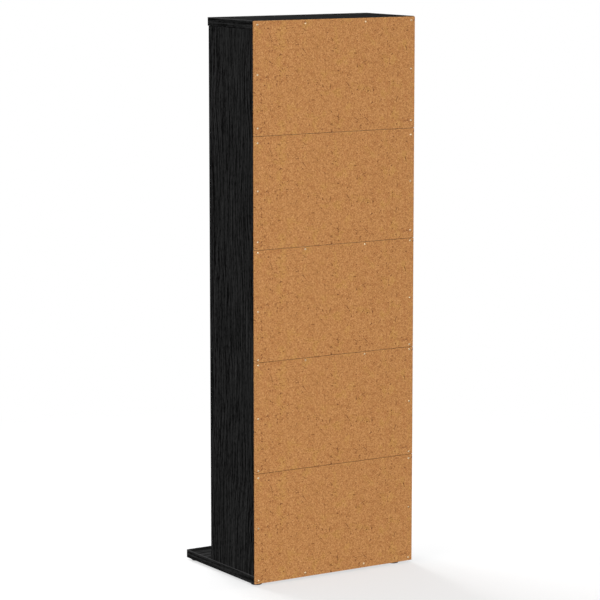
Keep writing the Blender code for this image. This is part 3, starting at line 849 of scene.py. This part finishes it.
def Power(name, description, default):
    """The power of a light in watts."""
    return FloatProperty(name=name, description=description, default=default, min=0, unit="POWER")


class OakFinish(bpy.types.PropertyGroup):
    """Black oak laminate of the boards."""

    dark: Colour("Dark", "Colour of the ground", 0.0012, 0.0012, 0.0012)
    light: Colour("Light", "Colour of the streaks", 0.030, 0.030, 0.030)
    # Painted highlight: the tone that the boards' upper rims are paled towards, in place of light caught by
    # their rounded edges
    rim_highlight: Colour("Worn", "Colour of the upper rims", 0.052, 0.052, 0.052)
    streaks: Share("Streaks", "How much the streaks show", 0.88, 3)
    bands: Share("Bands", "How much the broad bands show", 0.07)
    base_bands: Share("Base bands", "The same, in the base plate", 0.9)
    # How strongly the painted highlight on the upper rims shows
    rims: Share("Rims", "How pale the boards' rims are", 0.9)
    roughness: Share("Roughness", "Roughness of the laminate", 0.70)
    specular: Share("Specular", "Specular level of the laminate", 0.004)


class HardboardFinish(bpy.types.PropertyGroup):
    """Raw hardboard of the back, and the black lacquer of its inner face."""

    board: Colour("Board", "Main tone", 0.470, 0.211, 0.066)
    ochre: Colour("Ochre", "Tone of the clouds", 0.485, 0.235, 0.064)
    red: Colour("Red", "Tone of the patches", 0.445, 0.187, 0.058)
    dark: Colour("Dark", "Tone of the dark fibres", 0.26, 0.100, 0.031)
    light: Colour("Light", "Tone of the light fibres", 0.66, 0.345, 0.135)
    bark: Colour("Bark", "Tone of the bark", 0.180, 0.062, 0.019)
    roughness: Share("Roughness", "Roughness of the board", 0.62)
    specular: Share("Specular", "Specular level of the board", 0.2)
    lacquer_dark: Colour("Lacquer dark", "Darker tone of the lacquer", 0.008, 0.0078, 0.0075)
    lacquer_light: Colour("Lacquer light", "Paler tone of the lacquer", 0.019, 0.018, 0.0175)
    lacquer_roughness: Share("Lacquer roughness", "Roughness of the lacquer", 0.48)


class BandSizes(bpy.types.PropertyGroup):
    """Edge bands."""

    thickness: Length("Thickness", "Of a band", 0.0008, 0.0003)
    proud: Length("Proud", "How far a band stands out", 0.00005)
    rounding: Length("Rounding", "Of its outer edges", 0.0006)


class NailSizes(bpy.types.PropertyGroup):
    """Nails of the back."""

    head_radius: Length("Head radius", "Of a nail", 0.0018)
    head_height: Length("Head height", "Of a nail", 0.0006)
    shank_radius: Length("Shank radius", "Of a nail", 0.0007)
    length: Length("Length", "From head to tip", 0.018)
    tilt: Angle("Tilt", "Most that a head leans", 3)
    seed: IntProperty(name="Seed", description="Of the nails' tilt", default=38, min=0)


class PinSizes(bpy.types.PropertyGroup):
    """Shelf pins."""

    radius: Length("Radius", "Of the end in the hole", 0.0025)
    collar_radius: Length("Collar radius", "Of the stop", 0.0045)
    collar: Length("Collar", "Thickness of the stop", 0.001)
    stub_radius: Length("Stub radius", "Below the shelf", 0.0035)
    stub: Length("Stub", "Length below the shelf", 0.008)
    seat: Length("Seat", "Height of the flat seat", 0.0022)
    ledge: Length("Ledge", "Between stop and seat", 0.00005)
    easing: Length("Easing", "Of the ends", 0.0005)


class CamSizes(bpy.types.PropertyGroup):
    """Cam locks."""

    radius: Length("Radius", "Of the disc", 0.0072)
    reach: Length("Reach", "From bolt axis to bore floor", 0.0047)
    cavity_radius: Length("Cavity radius", "Round the head", 0.0050)
    eccentricity: Length("Eccentricity", "Of the cavity", 0.0006)
    head_room: Length("Head room", "Radius of the entry hole", 0.0035)
    neck_room: Length("Neck room", "Half height of the slot", 0.0021)
    slot_start: Angle("Slot start", "Angle from the bolt", -25)
    entry: Angle("Entry", "Angle of the entry hole", 115)
    cross_length: Length("Cross length", "Of the driver cross", 0.009)
    cross_width: Length("Cross width", "Of the driver cross", 0.0014)
    cross_depth: Length("Cross depth", "Of the driver cross", 0.0018)
    easing: Length("Easing", "Of the disc's rims", 0.0003)


class BoltSizes(bpy.types.PropertyGroup):
    """Cam bolts."""

    crest: Length("Crest", "Radius over the thread", 0.0025)
    core: Length("Core", "Radius under the thread", 0.0019)
    pitch: Length("Pitch", "Of the thread", 0.0016, 0.0005)
    thread: Length("Thread", "Length of the thread", 0.0110)
    collar_radius: Length("Collar radius", "Of the stop", 0.0036)
    collar: Length("Collar", "Thickness of the stop", 0.001)
    shank_radius: Length("Shank radius", "Of the shank", 0.0030)
    shank: Length("Shank", "Length of the shank", 0.0149)
    neck_radius: Length("Neck radius", "Below the head", 0.0018)
    head_radius: Length("Head radius", "Of the head", 0.0032)
    head: Length("Head", "Height of the head", 0.0044)
    easing: Length("Easing", "Of the head and the tip", 0.001)


class ScrewSizes(bpy.types.PropertyGroup):
    """Screws of the base plate."""

    head_radius: Length("Head radius", "Of the head", 0.005)
    cone: Length("Cone", "Height of the head's cone", 0.004)
    shank_radius: Length("Shank radius", "In the plate", 0.0032)
    shank: Length("Shank", "From head face to thread", 0.0143)
    crest: Length("Crest", "Radius over the thread", 0.0025)
    core: Length("Core", "Radius under the thread", 0.0018)
    pitch: Length("Pitch", "Of the thread", 0.0026, 0.0005)
    tip: Length("Tip", "Length of the tip", 0.004)
    socket_radius: Length("Socket radius", "Of the hexagon", 0.0023)
    socket_depth: Length("Socket depth", "Of the hexagon", 0.0025)
    easing: Length("Easing", "Of the head's rim", 0.0003)


class DowelSizes(bpy.types.PropertyGroup):
    """Dowels."""

    radius: Length("Radius", "Over the ridges", 0.0039)
    ridges: IntProperty(name="Ridges", description="Round the dowel", default=20, min=3)
    flute_share: Share("Flute share", "Depth of a groove as a share of the radius", 0.07, 0.5)
    easing: Length("Easing", "Of the ends", 0.001)


class GlideSizes(bpy.types.PropertyGroup):
    """Glides under the base plate."""

    height: Length("Height", "Of the cap", 0.0032)
    foot: Length("Foot", "Rounding at the floor", 0.0012)
    rim: Length("Rim", "Rounding at the plate", 0.0004)
    dish: Length("Dish", "Depth of the hollow below", 0.0002)
    nail_radius: Length("Nail radius", "Of the nail", 0.0011)
    nail_tip: Length("Nail tip", "Length of its point", 0.002)
    play: Length("Play", "Between cap and nail", 0.0001)


class StageSetting(bpy.types.PropertyGroup):
    """Floor, light and camera."""

    camera_place: FloatVectorProperty(
        name="Camera",
        description="Where the camera stands",
        default=(2.6029, 4.1059, 1.2160),
        subtype="TRANSLATION",
    )
    camera_turn: Angle("Turn", "Of the camera about Z", 147.606)
    camera_pitch: Angle("Pitch", "Of the camera downwards", 8.544)
    lens: FloatProperty(name="Lens", description="Focal length", default=162.35, min=10, unit="CAMERA")
    ambient: Share("Ambient", "Light of the surroundings", 0.08)
    back: Power("Back light", "Power of the light behind the back", 242.0)
    right: Power("Right light", "Power of the light at the right", 158.0)
    left: Power("Left light", "Power of the light at the left", 90.0)
    front: Power("Front light", "Power of the high light in front", 190.0)
    low: Power("Low light", "Power of the low light in front", 60.0)
    top: Power("Top light", "Power of the light overhead", 70.0)
    below: Power("Light below", "Power of the light under the floor", 90.0)


# Operators, one for each group of like pieces


class CABINET_OT_boards(bpy.types.Operator):
    """Black oak laminate for the boards"""

    bl_idname = "cabinet.boards"
    bl_label = "Finish boards"

    def execute(self, context):
        oak = context.scene.cabinet_oak
        for name, cut in CUTS.items():
            # Where an end isn't banded the core's box is drawn longer, so that the sawn face counts as core.
            # The upper ends of the side panels are black, for no pale line shows below the top panel
            low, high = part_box(name)
            high.y += RAW_END
            if name in UPRIGHT_BOARDS:
                low.z -= RAW_END
            elif name in SHELVES:
                low.x -= RAW_END
                high.x += RAW_END
            turn = ALONG_Z if name in UPRIGHT_BOARDS else ALONG_X
            bands = oak.base_bands if name == "base_plate" else oak.bands
            finish = oak_material(
                "black oak of " + name, oak, name, turn, cut, BOARD_WANDER, bands, (low, high)
            )
            coat(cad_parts[name], finish)
        return {"FINISHED"}


class CABINET_OT_edge_bands(bpy.types.Operator):
    """Edge bands on the boards' open edges"""

    bl_idname = "cabinet.edge_bands"
    bl_label = "Add edge bands"

    def execute(self, context):
        oak = context.scene.cabinet_oak
        sizes = context.scene.cabinet_bands
        proud = Vector((sizes.proud,) * 3)
        for board in CUTS:
            low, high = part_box(board)
            low, high = low - proud, high + proud
            inner = low.y + sizes.thickness
            turn = ALONG_Z if board in UPRIGHT_BOARDS else ALONG_X
            bands = [("front", low, (high.x, inner, high.z), (0, -1, 0), turn)]
            if board in BANDED_ROUND:
                for side, sign, edge in (("left", -1, low.x), ("right", 1, high.x)):
                    start, end = sorted((edge, edge - sign * sizes.thickness))
                    corners = (start, inner, low.z), (end, high.y, high.z)
                    bands.append((side, *corners, (sign, 0, 0), ALONG_Y))
            for side, first, last, outward, turn in bands:
                band = add_band(f"edge_band_{side}_{board}", first, last, outward, sizes.rounding)
                name = "black oak of " + band.name
                coat(band, oak_material(name, oak, board, turn, BAND_CUT, BAND_WANDER, oak.bands))
                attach(band, SHELF_BODIES.get(board, CARCASS))
        return {"FINISHED"}


class CABINET_OT_back(bpy.types.Operator):
    """Raw hardboard for the five panels of the back"""

    bl_idname = "cabinet.back"
    bl_label = "Finish back"

    def execute(self, context):
        board = context.scene.cabinet_hardboard
        for name in BACK_PANELS:
            coat(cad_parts[name], hardboard_material("hardboard of " + name, board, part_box(name)[0]))
        return {"FINISHED"}


class CABINET_OT_nails(bpy.types.Operator):
    """Nails of the back, hammered in by hand"""

    bl_idname = "cabinet.nails"
    bl_label = "Add nails"

    def execute(self, context):
        sizes = context.scene.cabinet_nails
        radius, rise, shank = sizes.head_radius, sizes.head_height, sizes.shank_radius
        tip = rise - sizes.length
        profile = [(radius * out, rise * up) for out, up in NAIL_HEAD]
        profile += [(shank * 1.5, 0.0), (shank, -shank), (shank, tip + 3 * shank), (shank * 0.1, tip)]
        pattern = turn_piece("back_nail", profile, NAIL_SIDES)
        coat(pattern, rubbed_material("bright nail"))
        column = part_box("side_panel_right")[1].x - SIDE_NAIL_INSET
        places = []
        for panel, (side_drops, middle_drops) in NAILS.items():
            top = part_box(panel)[1]
            for reach, drops in ((column, side_drops), (MIDDLE_NAIL_REACH, middle_drops)):
                places += [(side * reach, top.y, top.z - drop) for drop in drops for side in (-1, 1)]
        chance = random.Random(sizes.seed)
        placed = []
        for number, place in enumerate(places, 1):
            lean = [chance.uniform(-sizes.tilt, sizes.tilt) for _ in "xy"] + [chance.uniform(0, math.tau)]
            turn = Matrix.Rotation(-QUARTER, 4, "X") @ Euler(lean).to_matrix().to_4x4()
            placed.append((f"back_nail_{number:02d}", Matrix.Translation(place) @ turn))
        for nail in copies_of(pattern, placed):
            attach(nail, CARCASS)
        return {"FINISHED"}


class CABINET_OT_cam_locks(bpy.types.Operator):
    """Die cast cam locks"""

    bl_idname = "cabinet.cam_locks"
    bl_label = "Add cam locks"

    def execute(self, context):
        sizes = context.scene.cabinet_cams
        top = extent("cam_lock_upper_shelf_right").z - sizes.reach
        profile = eased_drum(sizes.radius, -sizes.reach, top, sizes.easing)
        pattern = turn_piece("die_cast_cam_lock", profile, CAM_SIDES)
        # The cavity for the bolt's head, the hole where the head goes in, and the slot for the neck
        rim = CAM_CUT_SHARE * sizes.radius
        cut_rod(pattern, CAM_SIDES, sizes.cavity_radius, 2 * sizes.head_room, (-sizes.eccentricity, 0, 0))
        hole = (rim / 2 * math.cos(sizes.entry), rim / 2 * math.sin(sizes.entry), 0)
        cut_rod(pattern, ENTRY_SIDES, sizes.head_room, rim, hole, (0, QUARTER, sizes.entry))
        cut_away(pattern, self.neck_slot(sizes, rim))
        for arm in ((sizes.cross_length, sizes.cross_width), (sizes.cross_width, sizes.cross_length)):
            cut_box(pattern, (0, 0, top), (*arm, 2 * sizes.cross_depth))
        coat(pattern, rubbed_material("zinc die casting"))
        put_in_place(pattern, "cam_lock_", "die_cast_", cam_place)
        return {"FINISHED"}

    def neck_slot(self, sizes, rim):
        """A sector that the bolt's neck passes through while the cam turns: an upright face spun about Z."""
        core = sizes.neck_room / 4
        out = (rim + core) / 2
        deselect_all()
        bpy.ops.mesh.primitive_plane_add(
            size=1.0,
            location=(out * math.cos(sizes.slot_start), out * math.sin(sizes.slot_start), 0),
            rotation=(QUARTER, 0, sizes.slot_start),
        )
        sector = bpy.context.object
        sector.scale = (rim - core, 2 * sizes.neck_room, 1)
        apply_place()
        bpy.ops.object.mode_set(mode="EDIT")
        bpy.ops.mesh.select_all(action="SELECT")
        turn = sizes.entry - sizes.slot_start
        bpy.ops.mesh.spin(steps=SLOT_STEPS, angle=turn, center=(0, 0, 0), axis=(0, 0, -1))
        return close_piece(sector, "neck_slot")


class CABINET_OT_pins(bpy.types.Operator):
    """Turned shelf pins with a flat seat"""

    bl_idname = "cabinet.pins"
    bl_label = "Add shelf pins"

    def execute(self, context):
        sizes = context.scene.cabinet_pins
        end = extent("shelf_pin_lower_right_front").x
        stub_start = end - sizes.stub
        collar_start = stub_start - sizes.collar
        profile = eased_edge(sizes.radius, 0, sizes.easing, -1)
        profile += [(sizes.radius, collar_start)]
        profile += eased_drum(sizes.collar_radius, collar_start, stub_start, sizes.easing / 2)
        profile += [(sizes.stub_radius, stub_start)]
        profile += eased_edge(sizes.stub_radius, end, sizes.easing, 1)
        pattern = turn_piece("turned_shelf_pin", profile, ROD_SIDES)
        reach = 2 * sizes.stub_radius
        seat = (sizes.seat + reach / 2, 0, end)
        cut_box(pattern, seat, (reach, 2 * reach, 2 * (sizes.stub - sizes.ledge)))
        coat(pattern, rubbed_material("zinc plated steel"))
        put_in_place(pattern, "shelf_pin_", "turned_", fastener_place)
        return {"FINISHED"}


class CABINET_OT_bolts(bpy.types.Operator):
    """Cam bolts with their threads"""

    bl_idname = "cabinet.bolts"
    bl_label = "Add cam bolts"

    def execute(self, context):
        sizes = context.scene.cabinet_bolts
        end = extent("cam_bolt_upper_shelf_right").x
        head_start = end - sizes.head
        collar_end = sizes.thread + sizes.collar
        shank_end = collar_end + sizes.shank
        edge = sizes.easing / 4
        profile = eased_edge(sizes.core, 0, sizes.easing, -1)
        profile += [(sizes.core, sizes.thread)]
        profile += eased_drum(sizes.collar_radius, sizes.thread, collar_end, edge)
        profile += [(sizes.shank_radius, collar_end)]
        profile += eased_edge(sizes.shank_radius, shank_end, edge, 1)
        profile += [(sizes.neck_radius, shank_end), (sizes.neck_radius, head_start)]
        profile += eased_drum(sizes.head_radius, head_start, end, sizes.easing)
        pattern = turn_piece("threaded_cam_bolt", profile, ROD_SIDES)
        wind_thread(pattern, sizes.core, sizes.crest, sizes.easing, sizes.thread, sizes.pitch)
        coat(pattern, rubbed_material("zinc plated steel"))
        put_in_place(pattern, "cam_bolt_", "threaded_", fastener_place)
        return {"FINISHED"}


class CABINET_OT_screws(bpy.types.Operator):
    """Screws of the base plate, with their threads and hexagon sockets"""

    bl_idname = "cabinet.screws"
    bl_label = "Add screws"

    def execute(self, context):
        sizes = context.scene.cabinet_screws
        end = extent("base_screw_right_front").z
        tip_start = end - sizes.tip
        profile = eased_edge(sizes.head_radius, 0, sizes.easing, -1)
        profile += [(sizes.shank_radius, sizes.cone), (sizes.shank_radius, sizes.shank)]
        profile += [(sizes.core, sizes.shank + sizes.easing), (sizes.core, tip_start), (sizes.core / 8, end)]
        pattern = turn_piece("threaded_base_screw", profile, ROD_SIDES)
        cut_rod(pattern, 6, sizes.socket_radius, 2 * sizes.socket_depth)
        wind_thread(pattern, sizes.core, sizes.crest, sizes.shank + sizes.pitch, tip_start, sizes.pitch)
        coat(pattern, rubbed_material("zinc plated steel"))
        put_in_place(pattern, "base_screw_", "threaded_", fastener_place)
        return {"FINISHED"}


class CABINET_OT_dowels(bpy.types.Operator):
    """Fluted beech dowels"""

    bl_idname = "cabinet.dowels"
    bl_label = "Add dowels"

    def execute(self, context):
        sizes = context.scene.cabinet_dowels
        profile = eased_drum(sizes.radius, 0, extent("dowel_base_right").z, sizes.easing)
        flute = 1 - sizes.flute_share
        pattern = turn_piece("fluted_dowel", profile, 2 * sizes.ridges, SHARP_FLUTED, flute)
        coat(pattern, beech_material())
        put_in_place(pattern, "dowel_", "fluted_", fastener_place)
        return {"FINISHED"}


class CABINET_OT_glides(bpy.types.Operator):
    """Plastic glides, each on its own nail"""

    bl_idname = "cabinet.glides"
    bl_label = "Add glides"

    def execute(self, context):
        sizes = context.scene.cabinet_glides
        size = extent("glide_rear_right")
        radius = size.x / 2
        profile = [(radius * out, sizes.dish * up) for out, up in GLIDE_HOLLOW]
        profile += eased_edge(radius, 0, sizes.foot, -1, FOOT_STEPS)
        profile += eased_edge(radius, sizes.height, sizes.rim, 1)
        cap = turn_piece("rounded_glide", profile, GLIDE_SIDES)
        coat(cap, rubbed_material("black plastic"))
        nail = sizes.nail_radius
        profile = [(nail, sizes.height + sizes.play), (nail, size.z - sizes.nail_tip), (nail / 10, size.z)]
        pattern = turn_piece("glide_nail", profile, NAIL_SIDES)
        coat(pattern, rubbed_material("zinc plated steel"))
        placed = [("nail_of_" + name, glide_place(name)) for name in nodes_named("glide_")]
        for piece in copies_of(pattern, placed):
            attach(piece, CARCASS)
        put_in_place(cap, "glide_", "rounded_", glide_place)
        return {"FINISHED"}


class CABINET_OT_stage(bpy.types.Operator):
    """Pale floor, soft light and the camera"""

    bl_idname = "cabinet.stage"
    bl_label = "Set stage"

    def execute(self, context):
        setting = context.scene.cabinet_stage
        self.add_floor(setting)
        self.add_surroundings(context.scene, setting)
        for name, (place, aim, size, power) in LIGHTS.items():
            self.add_light(name, place, aim, size, getattr(setting, power))
        camera = bpy.data.cameras.new("photo camera")
        camera.lens = setting.lens
        holder = bpy.data.objects.new("photo camera", camera)
        holder.location = setting.camera_place
        holder.rotation_euler = (QUARTER - setting.camera_pitch, 0, setting.camera_turn)
        context.scene.collection.objects.link(holder)
        context.scene.camera = holder
        context.scene.view_settings.view_transform = "Standard"
        return {"FINISHED"}

    def add_floor(self, setting):
        """A pale floor that fades into the white surroundings and is clear to sight and light from below."""
        deselect_all()
        bpy.ops.mesh.primitive_plane_add(size=FLOOR_SIZE, location=(0, 0, 0))
        floor = bpy.context.object
        floor.name = "floor"
        material, tree, shader, place = new_material("pale floor", 0.7, specular=0.1)
        rays = tree.add("LightPath").outputs
        seen = rays["Is Camera Ray"]
        tone = tree.mix(tree.noise(place, 3.0, 3.0), *map(opaque, FLOOR_TONES))
        tree.feed(shader.inputs["Base Color"], tree.mix(seen, opaque(FLOOR_BOUNCE), tone))
        glow = tree.step(seen, 0.0, 1.0, setting.ambient, 1.0)
        white = tree.add("Emission", {"Color": opaque(WHITE), "Strength": glow}).outputs[0]
        far = tree.step(tree.vector_math("LENGTH", place), *FLOOR_FADE, FLOOR_WHITE, 1.0)
        faded = tree.add("MixShader", {0: far, 1: shader.outputs[0], 2: white}).outputs[0]
        below = tree.add("NewGeometry").outputs["Backfacing"]
        passing = tree.math("MAXIMUM", below, rays["Is Shadow Ray"])
        clear = tree.add("BsdfTransparent").outputs[0]
        mixed = tree.add("MixShader", {0: passing, 1: faded, 2: clear}).outputs[0]
        tree.feed(material.node_tree.nodes["Material Output"].inputs["Surface"], mixed)
        tree.arrange()
        coat(floor, material)

    def add_surroundings(self, scene, setting):
        """White to look at, and dimmer as a light."""
        world = bpy.data.worlds.new("surroundings")
        world.use_nodes = True
        tree = Tree(world.node_tree)
        background = world.node_tree.nodes["Background"]
        background.inputs["Color"].default_value = opaque(WHITE)
        seen = tree.add("LightPath").outputs["Is Camera Ray"]
        tree.feed(background.inputs["Strength"], tree.step(seen, 0.0, 1.0, setting.ambient, 1.0))
        tree.arrange()
        scene.world = world

    def add_light(self, name, place, aim, size, power):
        """A square soft light that faces a point."""
        light = bpy.data.lights.new(name, "AREA")
        light.size = size
        light.energy = power
        holder = bpy.data.objects.new(name, light)
        holder.location = place
        holder.rotation_euler = (Vector(aim) - Vector(place)).to_track_quat("-Z", "Y").to_euler()
        bpy.context.scene.collection.objects.link(holder)


class CABINET_PT_panel(bpy.types.Panel):
    """Lists the steps and the values they use"""

    bl_idname = "CABINET_PT_panel"
    bl_label = "CD cabinet"
    bl_space_type = "VIEW_3D"
    bl_region_type = "UI"
    bl_category = "Cabinet"

    def draw(self, context):
        for operator, settings, _ in STEPS:
            box = self.layout.box()
            box.operator(operator.bl_idname)
            values = getattr(context.scene, settings)
            for name in values.bl_rna.properties.keys():
                if name not in {"rna_type", "name"}:
                    box.prop(values, name)


# The steps in order, each with the values it uses and the class that holds them
STEPS = (
    (CABINET_OT_stage, "cabinet_stage", StageSetting),
    (CABINET_OT_boards, "cabinet_oak", OakFinish),
    (CABINET_OT_edge_bands, "cabinet_bands", BandSizes),
    (CABINET_OT_back, "cabinet_hardboard", HardboardFinish),
    (CABINET_OT_nails, "cabinet_nails", NailSizes),
    (CABINET_OT_cam_locks, "cabinet_cams", CamSizes),
    (CABINET_OT_bolts, "cabinet_bolts", BoltSizes),
    (CABINET_OT_dowels, "cabinet_dowels", DowelSizes),
    (CABINET_OT_screws, "cabinet_screws", ScrewSizes),
    (CABINET_OT_pins, "cabinet_pins", PinSizes),
    (CABINET_OT_glides, "cabinet_glides", GlideSizes),
)


def register():
    for operator, name, values in STEPS:
        bpy.utils.register_class(values)
        setattr(bpy.types.Scene, name, PointerProperty(type=values))
        bpy.utils.register_class(operator)
    bpy.utils.register_class(CABINET_PT_panel)


def unregister():
    bpy.utils.unregister_class(CABINET_PT_panel)
    for operator, name, values in reversed(STEPS):
        bpy.utils.unregister_class(operator)
        delattr(bpy.types.Scene, name)
        bpy.utils.unregister_class(values)


def main():
    register()
    make_groups()
    bpy.ops.cabinet.stage()
    bpy.ops.cabinet.boards()
    bpy.ops.cabinet.edge_bands()
    bpy.ops.cabinet.back()
    bpy.ops.cabinet.nails()
    bpy.ops.cabinet.cam_locks()
    bpy.ops.cabinet.bolts()
    bpy.ops.cabinet.dowels()
    bpy.ops.cabinet.screws()
    bpy.ops.cabinet.pins()
    bpy.ops.cabinet.glides()


if __name__ == "__main__":
    main()
